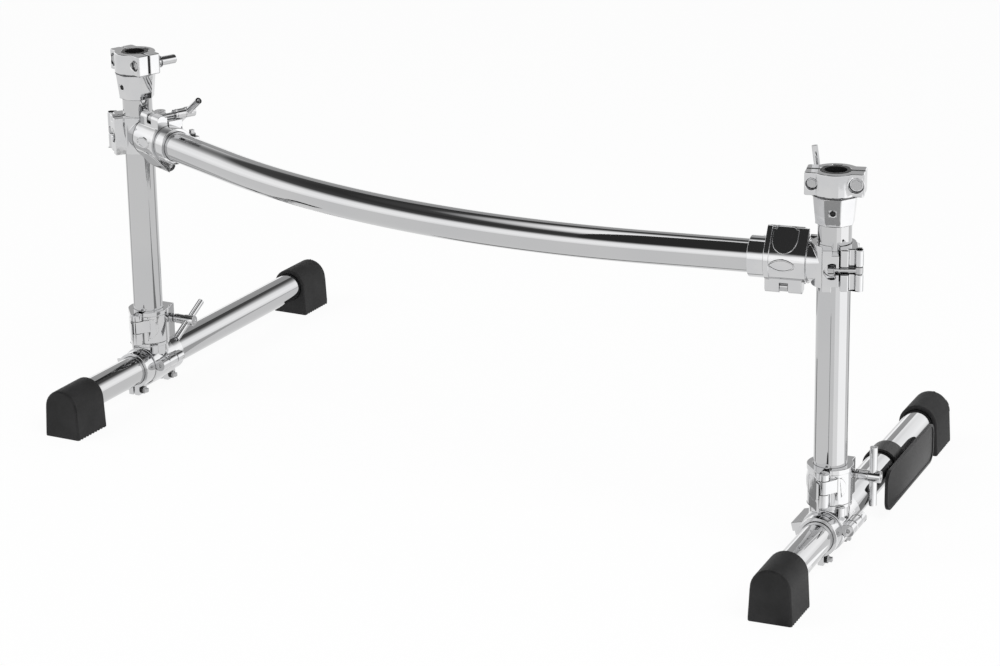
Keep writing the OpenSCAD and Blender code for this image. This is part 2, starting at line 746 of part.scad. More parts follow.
// Rubber foot: the tube enters along +Y, the floor lies at z = 0, the closed end is at y = 0
module rubber_foot() {
    difference() {
        hull() {
            translate([0, 0.5, 0]) rotate([90, 0, 0]) linear_extrude(0.5, $fn = 32) foot_section(end_inset);
            translate([0, foot_shoulder + 1, 0]) rotate([90, 0, 0]) linear_extrude(1, $fn = 32)
                foot_section(foot_inset);
            translate([0, foot_len - 2, 0]) rotate([90, 0, 0]) linear_extrude(1, $fn = 32) foot_section(0);
            translate([0, foot_len, 0]) rotate([90, 0, 0]) linear_extrude(0.5, $fn = 32) foot_section(1.2);
        }
        rod_y(foot_end, foot_len + 1, tube_r + foot_grip, 0, foot_z);
        for (n = [1 : floor((foot_len - 6) / tread_pitch)]) {
            translate([0, 3 + n * tread_pitch - tread_pitch / 2, 0]) {
                rod_x(-foot_w / 2 - 1, -foot_w / 2 - 1 + tread_len, tread_depth);
                rod_x(foot_w / 2 + 1 - tread_len, foot_w / 2 + 1, tread_depth);
            }
        }
    }
}

// Places of the feet at the two ends of a foot tube, in the clamp's frame
module at_front_end() {
    translate([-foot_z, 0, -foot_front - foot_end]) rotate([90, 0, 90]) children();
}
module at_rear_end() {
    translate([-foot_z, 0, foot_tube_len - foot_front + foot_end]) rotate([-90, 0, -90]) children();
}

// Bare badge plate beside the right foot tube, with a raised rim
module bare_plate() {
    translate([0, 0, badge_at]) difference() {
        badge_slab(badge_back, badge_back + badge_t, 0);
        badge_slab(badge_back + badge_t - badge_rim, badge_back + badge_t + 1, 3);
    }
}
module badge_slab(from, to, inset) {
    corner = badge_corner - inset;
    translate([badge_drop, from, 0]) rotate([-90, 0, 0]) linear_extrude(to - from) {
        square([badge_h - 2 * inset, badge_len - 2 * badge_corner], center = true);
        square([badge_h - 2 * badge_corner, badge_len - 2 * inset], center = true);
        for (x = [-1, 1], z = [-1, 1])
            translate([x * (badge_h / 2 - badge_corner), z * (badge_len / 2 - badge_corner)])
                circle(r = corner);
    }
}

// Clip that hangs the badge on the foot tube
module plate_clip() {
    translate([0, 0, badge_at - 3 - clip_w / 2]) difference() {
        union() {
            rod_z(0, clip_w, bore_r + clip_t);
            block([-9, 0, 0], [9, badge_back, clip_w]);
        }
        rod_z(-1, clip_w + 1, bore_r);
        block([-60, -60, -1], [-9, 60, clip_w + 1]);
    }
}

// Uprights and foot tubes in their places
module left_upright() { color(chrome) upright(-1); }
module right_upright() { color(chrome) upright(1); }
module left_foot_tube() { color(chrome) at_lower_left() foot_tube(); }
module right_foot_tube() { color(chrome) at_lower_right() foot_tube(); }

// Upper left clamp
module ul_clamp_body() { color(chrome) at_upper_left() clamp_body(); }
module ul_socket_gate() { color(chrome) at_upper_left() socket_gate(); }
module ul_collar_gate() { color(chrome) at_upper_left() collar_gate(); }
module ul_clamp_pins() { color(chrome) at_upper_left() clamp_pins(); }
module ul_socket_bolt() { color(chrome) at_upper_left() socket_bolt(); }
module ul_t_handle() { color(chrome) at_upper_left() t_handle(left_upper_handle); }
module ul_collar_bolt() { color(chrome) at_upper_left() collar_bolt(); }

// Upper right clamp
module ur_clamp_body() { color(chrome) at_upper_right() clamp_body(); }
module ur_socket_gate() { color(chrome) at_upper_right() socket_gate(); }
module ur_collar_gate() { color(chrome) at_upper_right() collar_gate(); }
module ur_clamp_pins() { color(chrome) at_upper_right() clamp_pins(); }
module ur_socket_bolt() { color(chrome) at_upper_right() socket_bolt(); }
module ur_t_handle() { color(chrome) at_upper_right() t_handle(right_upper_handle); }
module ur_collar_bolt() { color(chrome) at_upper_right() collar_bolt(); }

// Lower left clamp
module ll_clamp_body() { color(chrome) at_lower_left() clamp_body(); }
module ll_socket_gate() { color(chrome) at_lower_left() socket_gate(); }
module ll_collar_gate() { color(chrome) at_lower_left() collar_gate(); }
module ll_clamp_pins() { color(chrome) at_lower_left() clamp_pins(); }
module ll_socket_bolt() { color(chrome) at_lower_left() socket_bolt(); }
module ll_t_handle() { color(chrome) at_lower_left() t_handle(left_lower_handle); }
module ll_collar_bolt() { color(chrome) at_lower_left() collar_bolt(); }

// Lower right clamp
module lr_clamp_body() { color(chrome) at_lower_right() clamp_body(); }
module lr_socket_gate() { color(chrome) at_lower_right() socket_gate(); }
module lr_collar_gate() { color(chrome) at_lower_right() collar_gate(); }
module lr_clamp_pins() { color(chrome) at_lower_right() clamp_pins(); }
module lr_socket_bolt() { color(chrome) at_lower_right() socket_bolt(); }
module lr_t_handle() { color(chrome) at_lower_right() t_handle(right_lower_handle); }
module lr_collar_bolt() { color(chrome) at_lower_right() collar_bolt(); }

// Memory locks and their bolts, two of each in a node
module bar_memory_locks() {
    color(chrome) at_left_bar_lock() memory_lock();
    color(chrome) at_right_bar_lock() memory_lock();
}
module bar_lock_bolts() {
    color(chrome) at_left_bar_lock() lock_bolt();
    color(chrome) at_right_bar_lock() lock_bolt();
}
module left_memory_locks() { color(chrome) at_lower_left() at_foot_locks() memory_lock(); }
module left_lock_bolts() { color(chrome) at_lower_left() at_foot_locks() lock_bolt(); }
module right_memory_locks() { color(chrome) at_lower_right() at_foot_locks() memory_lock(); }
module right_lock_bolts() { color(chrome) at_lower_right() at_foot_locks() lock_bolt(); }

// Left holder
module left_holder_body() { color(chrome) at_left_holder() holder_front(1); }
module left_holder_jaw() { color(chrome) at_left_holder() holder_rear(1); }
module left_holder_liner() { color(black) at_left_holder() liner(); }
module left_holder_bolts() { color(chrome) at_left_holder() holder_screws(1); }
module left_jaw_screw() { color(chrome) at_left_holder() jaw_screw(1); }

// Right holder
module right_holder_body() { color(chrome) at_right_holder() holder_front(-1); }
module right_holder_jaw() { color(chrome) at_right_holder() holder_rear(-1); }
module right_holder_liner() { color(black) at_right_holder() liner(); }
module right_holder_bolts() { color(chrome) at_right_holder() holder_screws(-1); }
module right_jaw_screw() { color(chrome) at_right_holder() jaw_screw(-1); }

// Rubber feet, and the badge on the right foot tube
module left_front_foot() { color(rubber) at_lower_left() at_front_end() rubber_foot(); }
module left_rear_foot() { color(rubber) at_lower_left() at_rear_end() rubber_foot(); }
module right_front_foot() { color(rubber) at_lower_right() at_front_end() rubber_foot(); }
module right_rear_foot() { color(rubber) at_lower_right() at_rear_end() rubber_foot(); }
module badge_plate() { color(black) at_lower_right() bare_plate(); }
module badge_clip() { color(black) at_lower_right() plate_clip(); }

crossbar();
left_upright();
right_upright();
left_foot_tube();
right_foot_tube();
ul_clamp_body();
ul_socket_gate();
ul_collar_gate();
ul_clamp_pins();
ul_socket_bolt();
ul_t_handle();
ul_collar_bolt();
ur_clamp_body();
ur_socket_gate();
ur_collar_gate();
ur_clamp_pins();
ur_socket_bolt();
ur_t_handle();
ur_collar_bolt();
ll_clamp_body();
ll_socket_gate();
ll_collar_gate();
ll_clamp_pins();
ll_socket_bolt();
ll_t_handle();
ll_collar_bolt();
lr_clamp_body();
lr_socket_gate();
lr_collar_gate();
lr_clamp_pins();
lr_socket_bolt();
lr_t_handle();
lr_collar_bolt();
bar_memory_locks();
bar_lock_bolts();
left_memory_locks();
left_lock_bolts();
right_memory_locks();
right_lock_bolts();
left_holder_body();
left_holder_jaw();
left_holder_liner();
left_holder_bolts();
left_jaw_screw();
right_holder_body();
right_holder_jaw();
right_holder_liner();
right_holder_bolts();
right_jaw_screw();
left_front_foot();
left_rear_foot();
right_front_foot();
right_rear_foot();
badge_plate();
badge_clip();
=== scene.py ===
# %% [markdown]
# # A curved drum rack frame
# The real object is a tubular rack: a bowed chrome crossbar held between two uprights by
# hinged cast clamps. Each upright stands in a second clamp on a foot tube with rubber feet,
# and carries a split holder for an arm on its top. The solids already stand in the right
# places, so this script only gives them rounded edges, small fittings and finishes.

# %% Load the solids as a fixed frame
import json
import math

import bmesh
import bpy
from mathutils import Matrix, Vector
from mathutils.bvhtree import BVHTree
from mathutils.kdtree import KDTree


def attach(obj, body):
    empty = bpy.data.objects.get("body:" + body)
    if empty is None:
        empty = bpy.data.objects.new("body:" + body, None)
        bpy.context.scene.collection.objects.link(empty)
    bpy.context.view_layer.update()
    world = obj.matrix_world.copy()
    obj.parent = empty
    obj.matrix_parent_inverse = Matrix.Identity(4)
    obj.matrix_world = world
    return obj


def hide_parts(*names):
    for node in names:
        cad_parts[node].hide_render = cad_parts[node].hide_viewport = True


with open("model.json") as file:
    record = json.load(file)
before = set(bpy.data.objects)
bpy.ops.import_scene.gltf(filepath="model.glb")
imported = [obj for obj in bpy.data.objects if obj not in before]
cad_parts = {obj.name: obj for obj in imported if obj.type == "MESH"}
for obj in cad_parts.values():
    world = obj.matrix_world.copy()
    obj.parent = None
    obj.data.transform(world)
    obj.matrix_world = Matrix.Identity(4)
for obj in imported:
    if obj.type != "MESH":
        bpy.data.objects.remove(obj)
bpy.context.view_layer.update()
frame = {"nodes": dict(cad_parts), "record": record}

# Everything is measured in metres, and MM turns millimetres into them
MM = 0.001
nodes = frame["nodes"]

# %% [markdown]
# ## The camera
# The photograph was taken from the front right with a long lens, so upright lines stay almost
# parallel. A camera could be aimed with a constraint, but a matrix built from its own
# right, up and back directions says exactly where it looks, and keeps the small roll.

# %% Set the camera from its three directions
IMAGE_W = 1000
YAW, PITCH, ROLL = -0.62846092, 0.32776135, -0.01634853
FOCAL_PIXELS, SENSOR_W = 3168.503, 36
CAMERA_PLACE = (2.182539, -3.018115, 1.409476)

ahead = Vector((math.sin(YAW) * math.cos(PITCH), math.cos(YAW) * math.cos(PITCH), -math.sin(PITCH)))
level = Vector((math.cos(YAW), -math.sin(YAW), 0))
raised = level.cross(ahead)
right = level * math.cos(ROLL) + raised * math.sin(ROLL)
up = raised * math.cos(ROLL) - level * math.sin(ROLL)

camera = bpy.data.objects.new("camera", bpy.data.cameras.new("camera"))
camera.data.sensor_fit = "HORIZONTAL"
camera.data.sensor_width = SENSOR_W
camera.data.lens = FOCAL_PIXELS / IMAGE_W * SENSOR_W
camera.matrix_world = Matrix((right, up, -ahead)).transposed().to_4x4()
camera.location = CAMERA_PLACE
bpy.context.scene.collection.objects.link(camera)
bpy.context.scene.camera = camera
bpy.context.scene.view_settings.view_transform = "Standard"
print("lens", round(camera.data.lens, 1), "mm")

# %% [markdown]
# ## A helper for shader graphs
# Every finish below is a small graph of nodes. Adding a node and setting its sockets takes
# several lines each time, so three short helpers do it, and the graphs read like a recipe.

# %% Helpers that add and join shader nodes
def new_finish(name):
    """An empty material with its output and shader, ready for a recipe."""
    made = bpy.data.materials.new(name)
    made.use_nodes = True
    return made, made.node_tree, made.node_tree.nodes["Principled BSDF"]


def add(tree, kind, **sockets):
    """A node with some of its inputs set; a name like Noise_Scale means that socket."""
    node = tree.nodes.new(kind)
    for socket, value in sockets.items():
        node.inputs[socket.replace("_", " ")].default_value = value
    return node


def join(tree, *pairs):
    for out, into in pairs:
        tree.links.new(out, into)


# %% [markdown]
# ## The studio
# Chrome has no colour of its own, and shows the room. Where each brightness lies on the
# tubes tells where it hangs in the room: a white surround up to about 25 degrees, darkness
# from 36 to 57, and a large soft lamp overhead. A lamp for each would do, but a world that
# changes with height gives the same bands with no noise. An upright is seen from above, so
# it mirrors only the floor near it: a few cards on the floor, which only reflections see,
# give it its darker edges and its bright side. One more card stands behind the rack and
# greys its level top faces, and one hangs overhead and darkens the castings' upper halves.

# %% White surround for the camera, banded surround for reflections
world = bpy.data.worlds.new("studio")
bpy.context.scene.world = world
world.use_nodes = True
tree = world.node_tree
tree.nodes.clear()
direction = tree.nodes.new("ShaderNodeTexCoord")
parts = tree.nodes.new("ShaderNodeSeparateXYZ")
bands = tree.nodes.new("ShaderNodeValToRGB")
to_height = add(tree, "ShaderNodeMapRange", From_Min=-1.0, From_Max=1.0)
# Height over the horizon in degrees, and grey
BANDS = [(-90, 0.56), (-5, 0.6), (0, 0.8), (12, 0.95), (25, 0.85), (31, 0.4),
         (36, 0.06), (48, 0.03), (57, 0.06), (61, 0.4), (68, 0.9), (90, 1.0)]
MIRRORED_STRENGTH, LIGHTING_STRENGTH, FLOOR_GLOW = 1.65, 0.55, 0.93
ramp = bands.color_ramp
while len(ramp.elements) < len(BANDS):
    ramp.elements.new(0.5)
for element, (height, grey) in zip(ramp.elements, BANDS):
    element.position = (math.sin(math.radians(height)) + 1) / 2
    element.color = (grey, grey, grey, 1)
join(tree, (direction.outputs["Generated"], parts.inputs[0]), (parts.outputs["Z"], to_height.inputs["Value"]),
     (to_height.outputs[0], bands.inputs[0]))
seen = tree.nodes.new("ShaderNodeBackground")
mirrored = add(tree, "ShaderNodeBackground", Strength=MIRRORED_STRENGTH)
lighting = add(tree, "ShaderNodeBackground", Color=(1, 1, 1, 1), Strength=LIGHTING_STRENGTH)
seen.inputs["Color"].default_value = (1, 1, 1, 1)
join(tree, (bands.outputs[0], mirrored.inputs["Color"]))
rays = tree.nodes.new("ShaderNodeLightPath")
first = tree.nodes.new("ShaderNodeMixShader")
second = tree.nodes.new("ShaderNodeMixShader")
surround = tree.nodes.new("ShaderNodeOutputWorld")
join(tree, (rays.outputs["Is Glossy Ray"], first.inputs[0]), (lighting.outputs[0], first.inputs[1]),
     (mirrored.outputs[0], first.inputs[2]), (rays.outputs["Is Camera Ray"], second.inputs[0]),
     (first.outputs[0], second.inputs[1]), (seen.outputs[0], second.inputs[2]),
     (second.outputs[0], surround.inputs["Surface"]))
print("world bands", len(BANDS))

# %% Pale floor that keeps a soft shadow
floor_paint, tree, shader = new_finish("pale_floor")
shader.inputs["Base Color"].default_value = (0.9, 0.9, 0.9, 1)
shader.inputs["Roughness"].default_value = 0.9
shader.inputs["Specular IOR Level"].default_value = 0.0
glow = add(tree, "ShaderNodeEmission", Color=(1, 1, 1, 1), Strength=1.0)
rays = tree.nodes.new("ShaderNodeLightPath")
either = tree.nodes.new("ShaderNodeMath")
either.operation = "MAXIMUM"
share = tree.nodes.new("ShaderNodeMath")
share.operation = "MULTIPLY"
share.inputs[1].default_value = FLOOR_GLOW
blend = tree.nodes.new("ShaderNodeMixShader")
join(tree, (rays.outputs["Is Camera Ray"], either.inputs[0]),
     (rays.outputs["Is Glossy Ray"], either.inputs[1]),
     (either.outputs[0], share.inputs[0]), (share.outputs[0], blend.inputs[0]),
     (shader.outputs[0], blend.inputs[1]), (glow.outputs[0], blend.inputs[2]),
     (blend.outputs[0], tree.nodes["Material Output"].inputs["Surface"]))

bm = bmesh.new()
bmesh.ops.create_grid(bm, x_segments=1, y_segments=1, size=9)
floor = bpy.data.objects.new("floor", bpy.data.meshes.new("floor"))
bm.to_mesh(floor.data)
bm.free()
floor.data.materials.append(floor_paint)
bpy.context.scene.collection.objects.link(floor)
print("floor", floor.dimensions)


# %% Cards that only reflections see
def card(name, corners, grey):
    """A flat card through its four corners, in metres."""
    paint, tree, shader = new_finish(name + "_paint")
    tree.nodes.remove(shader)
    glow = add(tree, "ShaderNodeEmission", Color=(grey, grey, grey, 1), Strength=1.0)
    join(tree, (glow.outputs[0], tree.nodes["Material Output"].inputs["Surface"]))
    bm = bmesh.new()
    bmesh.ops.contextual_create(bm, geom=[bm.verts.new(corner) for corner in corners])
    made = bpy.data.objects.new(name, bpy.data.meshes.new(name))
    bm.to_mesh(made.data)
    bm.free()
    made.data.materials.append(paint)
    bpy.context.scene.collection.objects.link(made)
    made.visible_camera = made.visible_diffuse = made.visible_shadow = made.visible_transmission = False
    return made


# Dark cards lie just above the bright ones that they cross
BELOW, ABOVE = 0.5 * MM, 1.0 * MM


def floor_wedge(name, foot, towards, width, near, far, grey, lift):
    """A wedge on the floor that points away from an upright, by its direction in degrees."""
    a, b = math.radians(towards - width / 2), math.radians(towards + width / 2)
    x, y = foot
    return card(name, [(x + r * math.cos(t), y + r * math.sin(t), lift)
                       for r, t in ((near, a), (far, a), (far, b), (near, b))], grey)


LEFT_X, RIGHT_X, SIDE_Y = -505.66 * MM, 520.34 * MM, -101.007 * MM
LEFT_FOOT, RIGHT_FOOT = (LEFT_X, SIDE_Y), (RIGHT_X, SIDE_Y)
cards = [
    floor_wedge("bright_floor_right", RIGHT_FOOT, 14, 62, 0.06, 1.6, 1.65, BELOW),
    floor_wedge("soft_floor_right", RIGHT_FOOT, -32, 30, 0.06, 1.6, 1.25, BELOW),
    floor_wedge("dark_line_right", RIGHT_FOOT, -74, 4, 0.06, 0.9, 0.4, ABOVE),
    floor_wedge("dark_edge_right", RIGHT_FOOT, 84, 14, 0.1, 1.2, 0.3, ABOVE),
    floor_wedge("dark_edge_right_behind", RIGHT_FOOT, 176, 12, 0.1, 0.7, 0.3, ABOVE),
    floor_wedge("grey_edge_left", LEFT_FOOT, 66, 16, 0.1, 1.2, 0.6, ABOVE),
    floor_wedge("grey_edge_left_behind", LEFT_FOOT, 178, 16, 0.1, 1.2, 0.6, ABOVE),
    card("grey_backdrop", [(-6.0, 4.3, 1.2), (-2.4, 6.9, 1.2), (-2.4, 6.9, 7.0), (-6.0, 4.3, 7.0)], 0.5),
    card("dark_overhead", [(-0.6, -4.0, 3.4), (2.0, -4.0, 3.4), (2.0, 0.5, 3.4), (-0.6, 0.5, 3.4)], 0.04)]
print(len(cards), "cards")


# %% [markdown]
# Two large soft lamps, one high on the right and one on the left, light the rubber and the
# floor. They are wide, so that the shadows under the tubes stay faint, as in the photograph.

# %% Soft lamps
def soft_lamp(name, place, size, watts):
    lamp = bpy.data.objects.new(name, bpy.data.lights.new(name, "AREA"))
    lamp.data.shape = "SQUARE"
    lamp.data.size = size
    lamp.data.energy = watts
    lamp.location = place
    lamp.visible_glossy = False
    lamp.rotation_euler = (Vector((0, 0, 0.2)) - Vector(place)).to_track_quat("-Z", "Y").to_euler()
    bpy.context.scene.collection.objects.link(lamp)


soft_lamp("lamp_right", (2.6, -1.2, 3.0), 2.2, 75)
soft_lamp("lamp_left", (-2.4, -2.2, 2.8), 2.4, 45)

# %% [markdown]
# ## Finishes
# Chrome is a bright metal with hardly any roughness. Perfect mirrors look artificial, so the
# plating gets a faint unevenness: long and even on drawn tubes, rounder and stronger on the
# castings, which are polished by hand before they are plated.

# %% Chrome on the tubes and on the castings
def chrome(name, ripple, ripple_size, roughness, grey):
    made, tree, shader = new_finish(name)
    shader.inputs["Metallic"].default_value = 1.0
    where = tree.nodes.new("ShaderNodeTexCoord")
    cloud = add(tree, "ShaderNodeTexNoise", Scale=ripple_size, Detail=2.0, Roughness=0.4)
    haze = add(tree, "ShaderNodeTexNoise", Scale=900.0, Detail=4.0, Roughness=0.6)
    rough = add(tree, "ShaderNodeMapRange", From_Min=0.35, From_Max=0.7, To_Min=roughness * 0.6,
                To_Max=roughness * 1.6)
    tint = tree.nodes.new("ShaderNodeValToRGB")
    tint.color_ramp.elements[0].position = 0.3
    tint.color_ramp.elements[0].color = (grey * 0.95, grey * 0.955, grey * 0.97, 1)
    tint.color_ramp.elements[1].position = 0.7
    tint.color_ramp.elements[1].color = (grey, grey, grey * 1.005, 1)
    bump = add(tree, "ShaderNodeBump", Strength=ripple, Distance=0.0006)
    join(tree, (where.outputs["Object"], cloud.inputs["Vector"]),
         (where.outputs["Object"], haze.inputs["Vector"]),
         (haze.outputs["Fac"], rough.inputs["Value"]), (rough.outputs[0], shader.inputs["Roughness"]),
         (cloud.outputs["Fac"], tint.inputs[0]), (tint.outputs[0], shader.inputs["Base Color"]),
         (cloud.outputs["Fac"], bump.inputs["Height"]), (bump.outputs[0], shader.inputs["Normal"]))
    return made


tube_chrome = chrome("tube_chrome", 0.05, 9.0, 0.035, 0.52)
cast_chrome = chrome("cast_chrome", 0.12, 60.0, 0.05, 0.6)
plated_steel = chrome("plated_steel", 0.25, 260.0, 0.15, 0.45)
print("three bright finishes")


# %% [markdown]
# Rubber and moulded plastic are both nearly black. The rubber feet are dull with a fine skin
# and a little dust in patches; the plastic liner is smoother, and the badge satin.

# %% Rubber, moulding and badge finishes
def dark_finish(name, low, high, grain, depth, rough_low, rough_high):
    made, tree, shader = new_finish(name)
    where = tree.nodes.new("ShaderNodeTexCoord")
    skin = add(tree, "ShaderNodeTexNoise", Scale=grain, Detail=5.0, Roughness=0.65)
    dust = add(tree, "ShaderNodeTexNoise", Scale=38.0, Detail=3.0, Roughness=0.55)
    shade = tree.nodes.new("ShaderNodeValToRGB")
    shade.color_ramp.elements[0].position = 0.35
    shade.color_ramp.elements[0].color = (low, low, low * 1.02, 1)
    shade.color_ramp.elements[1].position = 0.72
    shade.color_ramp.elements[1].color = (high, high, high * 1.03, 1)
    rough = add(tree, "ShaderNodeMapRange", From_Min=0.3, From_Max=0.7, To_Min=rough_low, To_Max=rough_high)
    bump = add(tree, "ShaderNodeBump", Strength=depth, Distance=0.0005)
    shader.inputs["Specular IOR Level"].default_value = 0.3
    join(tree, (where.outputs["Object"], skin.inputs["Vector"]),
         (where.outputs["Object"], dust.inputs["Vector"]),
         (dust.outputs["Fac"], shade.inputs[0]), (shade.outputs[0], shader.inputs["Base Color"]),
         (skin.outputs["Fac"], rough.inputs["Value"]), (rough.outputs[0], shader.inputs["Roughness"]),
         (skin.outputs["Fac"], bump.inputs["Height"]), (bump.outputs[0], shader.inputs["Normal"]))
    return made


foot_rubber = dark_finish("foot_rubber", 0.009, 0.017, 900.0, 0.35, 0.55, 0.75)
liner_moulding = dark_finish("liner_moulding", 0.006, 0.012, 1400.0, 0.2, 0.3, 0.45)
badge_black = dark_finish("badge_black", 0.008, 0.014, 1100.0, 0.15, 0.28, 0.4)
black_steel = dark_finish("black_steel", 0.01, 0.03, 1500.0, 0.2, 0.25, 0.45)
print("four dark finishes")

# %% [markdown]
# ## Rounded castings
# A cast and polished part has no sharp edge. The solids have sharp ones, which would never
# catch a highlight. Each solid's mesh is copied, its loose triangles are merged and its flat
# ones joined, and then its sharp edges are bevelled, by 0.6 to 1.8 millimetres. A Bevel
# modifier on the solid would fail, because its triangles aren't joined to each other. Beside
# a step that is lower than the rounding a bevel tears the skin, so each result is measured
# against the solid, and the few edges that tear it are left sharp in the next try.

# %% Turn a mesh into a finished piece
CREASE, FLAT = math.radians(42), math.radians(0.4)
SHARP_FROM, NECK_SHARP_FROM, REACH = 32, 24, 1.5
SAME_CORNER, SMALLEST_EDGE = 0.004 * MM, 0.01 * MM


def as_piece(bm, name, finish, body, replaced=()):
    """Put the mesh in an object at the origin that rides on its body."""
    for face in bm.faces:
        face.smooth = True
    for edge in bm.edges:
        edge.smooth = not (len(edge.link_faces) == 2 and edge.calc_face_angle(0) > CREASE)
    made = bpy.data.objects.new(name, bpy.data.meshes.new(name))
    bm.to_mesh(made.data)
    bm.free()
    made.data.materials.append(finish)
    bpy.context.scene.collection.objects.link(made)
    even = made.modifiers.new("even_normals", "WEIGHTED_NORMAL")
    even.keep_sharp = True
    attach(made, body)
    if replaced:
        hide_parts(*replaced)
    return made


def merged_copy(node):
    """A copy of a solid's mesh with its triangles joined into whole faces."""
    bm = bmesh.new()
    bm.from_mesh(nodes[node].data)
    bmesh.ops.remove_doubles(bm, verts=bm.verts, dist=SAME_CORNER)
    bmesh.ops.dissolve_limit(bm, angle_limit=FLAT, verts=bm.verts, edges=bm.edges)
    return bm


def soften(bm, width, from_angle=SHARP_FROM, segments=2, tries=7):
    """Round the sharp edges, and leave sharp those near which a rounding would tear the skin."""
    skin = BVHTree.FromBMesh(bm)
    left_sharp = set()
    bm.edges.index_update()
    for attempt in range(tries):
        trial = bm.copy()
        trial.edges.ensure_lookup_table()
        sharp = [e for e in trial.edges if e.index not in left_sharp
                 and len(e.link_faces) == 2 and e.calc_face_angle(0) > math.radians(from_angle)]
        bmesh.ops.bevel(trial, geom=sharp, offset=width, offset_type="OFFSET", segments=segments, profile=0.5,
                        affect="EDGES", clamp_overlap=False, material=-1, loop_slide=True)
        torn = {v for e in trial.edges for v in e.verts
                if skin.find_nearest((e.verts[0].co + e.verts[1].co) / 2)[3] > width}
        if not torn or attempt == tries - 1:
            break
        marks = [v.co.copy() for v in torn if skin.find_nearest(v.co)[3] < REACH * width]
        reach = (REACH + attempt) * width
        near = KDTree(len(marks))
        for k, mark in enumerate(marks):
            near.insert(mark, k)
        near.balance()
        left_sharp |= {e.index for e in bm.edges if marks
                       and min(near.find(spot)[2] for spot in (e.verts[0].co, e.verts[1].co)) < reach}
        trial.free()
    bm.free()
    for v in torn:
        nearest, _, _, distance = skin.find_nearest(v.co)
        if distance > width:
            v.co = nearest
    bmesh.ops.remove_doubles(trial, verts=trial.verts, dist=SMALLEST_EDGE)
    print("tries", attempt + 1, "torn corners", len(torn))
    return trial


def body_of_node(node):
    return next(b for b, members in frame["record"]["behaviour"]["bodies"].items() if node in members)


# %% [markdown]
# The holders' necks aren't plain cones: they are ground to flats that meet in soft corners.
# Modelling each flat as a cut would take many planes. Instead the cone is cut through its
# axis where the corners fall, and its skin is moved outwards there and inwards between them.

# %% Give a holder's neck its flats
UPRIGHT_AT = {"left": (LEFT_X, SIDE_Y, math.radians(-15)), "right": (RIGHT_X, SIDE_Y, math.radians(23))}
NECK_LOW, NECK_HIGH = 397 * MM, 430.5 * MM
NECK_INSIDE, NECK_OUTSIDE = 20.3 * MM, 26.2 * MM
# The middle of a flat lies at this share of the cone's radius
FLATS, FLAT_DEPTH = 8, 0.966


def grind_flats(bm, side):
    x, y, turn = UPRIGHT_AT[side]
    step = 2 * math.pi / FLATS
    for k in range(FLATS // 2):
        neck = [f for f in bm.faces if NECK_LOW < f.calc_center_median().z < NECK_HIGH
                and (f.calc_center_median().xy - Vector((x, y))).length > NECK_INSIDE]
        parts = set(neck) | {e for f in neck for e in f.edges} | {v for f in neck for v in f.verts}
        a = turn + math.pi / 2 + (k + 0.5) * step
        bmesh.ops.bisect_plane(bm, geom=list(parts), dist=1e-6, plane_co=(x, y, 0),
                               plane_no=(-math.sin(a), math.cos(a), 0))
    for v in bm.verts:
        out = v.co.xy - Vector((x, y))
        if NECK_LOW - 0.2 * MM < v.co.z < NECK_HIGH + 1.2 * MM and NECK_INSIDE < out.length < NECK_OUTSIDE:
            local = (math.atan2(out.y, out.x) - turn - math.pi / 2 + step / 2) % step - step / 2
            v.co.xy = Vector((x, y)) + out * FLAT_DEPTH / math.cos(local)


# %% Round the clamps, the holders and the memory locks
ROUNDED = {"clamp_body": 0.6, "socket_gate": 0.6, "collar_gate": 1.8, "holder_body": 1.2, "holder_jaw": 1.2,
           "memory_locks": 0.8}
for node in sorted(nodes):
    for ending, width in ROUNDED.items():
        if node.endswith(ending):
            bm = merged_copy(node)
            if ending == "holder_body":
                grind_flats(bm, node.split("_")[0])
            from_angle = NECK_SHARP_FROM if ending == "holder_body" else SHARP_FROM
            bm = soften(bm, width * MM, from_angle=from_angle, segments=3)
            piece = as_piece(bm, node + "_cast", cast_chrome, body_of_node(node), [node])
            print(piece.name, len(piece.data.polygons), "faces")

# %% [markdown]
# ## Bolts, pins and T-handles
# These are turned and forged from steel, then plated. They are treated like the castings,
# with a smaller rounding, because a bolt's edges are only broken, not polished away. Only
# the left holder's screw has a plain head that is well rounded.

# %% Round the turned parts
TURNED = {"t_handle": (0.5, cast_chrome, "chrome"),
          "right_jaw_screw": (0.5, cast_chrome, "chrome"),
          "left_jaw_screw": (1.8, cast_chrome, "chrome"),
          "socket_bolt": (0.3, plated_steel, "plated_steel"),
          "collar_bolt": (0.3, plated_steel, "plated_steel"),
          "clamp_pins": (0.5, plated_steel, "plated_steel"),
          "holder_bolts": (0.4, plated_steel, "plated_steel"),
          "lock_bolts": (0.3, plated_steel, "plated_steel")}
for node in sorted(nodes):
    for ending, (width, finish, slot) in TURNED.items():
        if node.endswith(ending):
            bm = soften(merged_copy(node), width * MM)
            piece = as_piece(bm, node + "_turned", finish, body_of_node(node), [node])
            print(piece.name, len(piece.data.polygons), "faces")

# %% [markdown]
# ## The bowed crossbar
# The real crossbar is one tube, bent to a wide arc with straight ends that lie in the clamps.
# Chrome shows every facet of a bend, so the tube is made again from a ring that is pushed
# along the straight end, spun round the bend's centre in many small steps and pushed again.

# %% Sweep the crossbar
TUBE_R, TUBE_WALL = 19.05 * MM, 1.8 * MM
BAR_Z, BAR_YAW = 351 * MM, math.radians(17.5)
STRAIGHT, TUBE_START = 215 * MM, 23.0 * MM
TUBE_SIDES, BEND_STEPS, BROKEN_EDGE = 96, 90, 0.3 * MM


